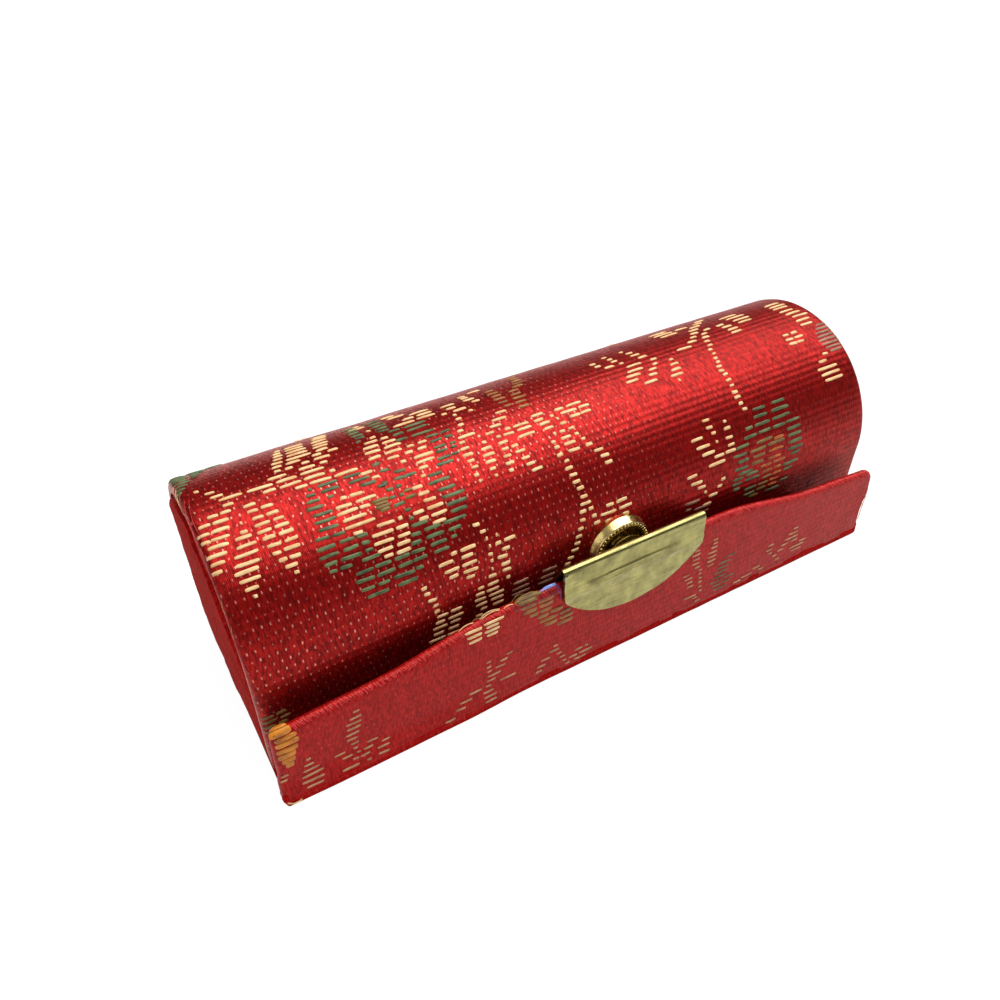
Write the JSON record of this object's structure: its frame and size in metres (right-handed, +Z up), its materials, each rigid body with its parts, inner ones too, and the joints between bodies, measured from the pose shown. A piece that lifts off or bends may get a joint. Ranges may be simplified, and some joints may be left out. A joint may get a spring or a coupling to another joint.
{
  "type": "brocade keepsake case",
  "caption": "Small round-backed keepsake case in red floral brocade, with a hinged lid, mirror inside, front flap and brass clip that meets a press button.",
  "frame": {"origin": "on the table, under the axis of the round barrel and midway along the case: the centre of the lid's underside mount", "axes": "+X along the case to its right end, +Y to the hinge at the back, +Z up from the table"},
  "size_m": [0.09, 0.0348, 0.0303],
  "materials": {
    "brocade": "silk brocade, satin ground",
    "satin_lining": "plain satin",
    "board": "grey board",
    "tape": "matte",
    "mirror_paint": "silvered, painted back",
    "mirror_glass": "polished",
    "gold_brass": "polished gold plate",
    "clip_brass": "brushed, lightly scratched",
    "steel": "plain"
  },
  "bodies": {
    "lid": {"lid_cover": "brocade", "lid_board": "board", "lid_lining": "satin_lining", "mirror_tape": "tape", "mirror_backing": "mirror_paint", "mirror_glass": "mirror_glass", "hinge_cloth": "brocade", "crease_cloth": "brocade"},
    "barrel": {"barrel_cover": "brocade", "barrel_board": "board", "barrel_lining": "satin_lining", "end_board_left": "board", "end_board_right": "board", "end_cover_left": "brocade", "end_cover_right": "brocade", "end_lining_left": "satin_lining", "end_lining_right": "satin_lining", "button_cap": "gold_brass", "button_beads": "gold_brass", "button_rivet": "gold_brass", "button_washer": "steel"},
    "flap": {"flap_cover": "brocade", "flap_board": "board", "flap_lining": "satin_lining", "clasp_clip": "clip_brass", "clasp_stud": "gold_brass"}
  },
  "joints": [
    {"name": "barrel_hinge", "type": "hinge", "parent": "lid", "child": "barrel", "pos_m": [0, 0.0151, 0.00135], "axis": [-1, 0, 0], "range_deg": [0, 90]},
    {"name": "flap_crease", "type": "hinge", "parent": "lid", "child": "flap", "pos_m": [0, -0.01795, 0.00085], "axis": [1, 0, 0], "range_deg": [0, 80], "stiffness_Nm_per_rad": 0.004, "springref_deg": -17.19}
  ]
}
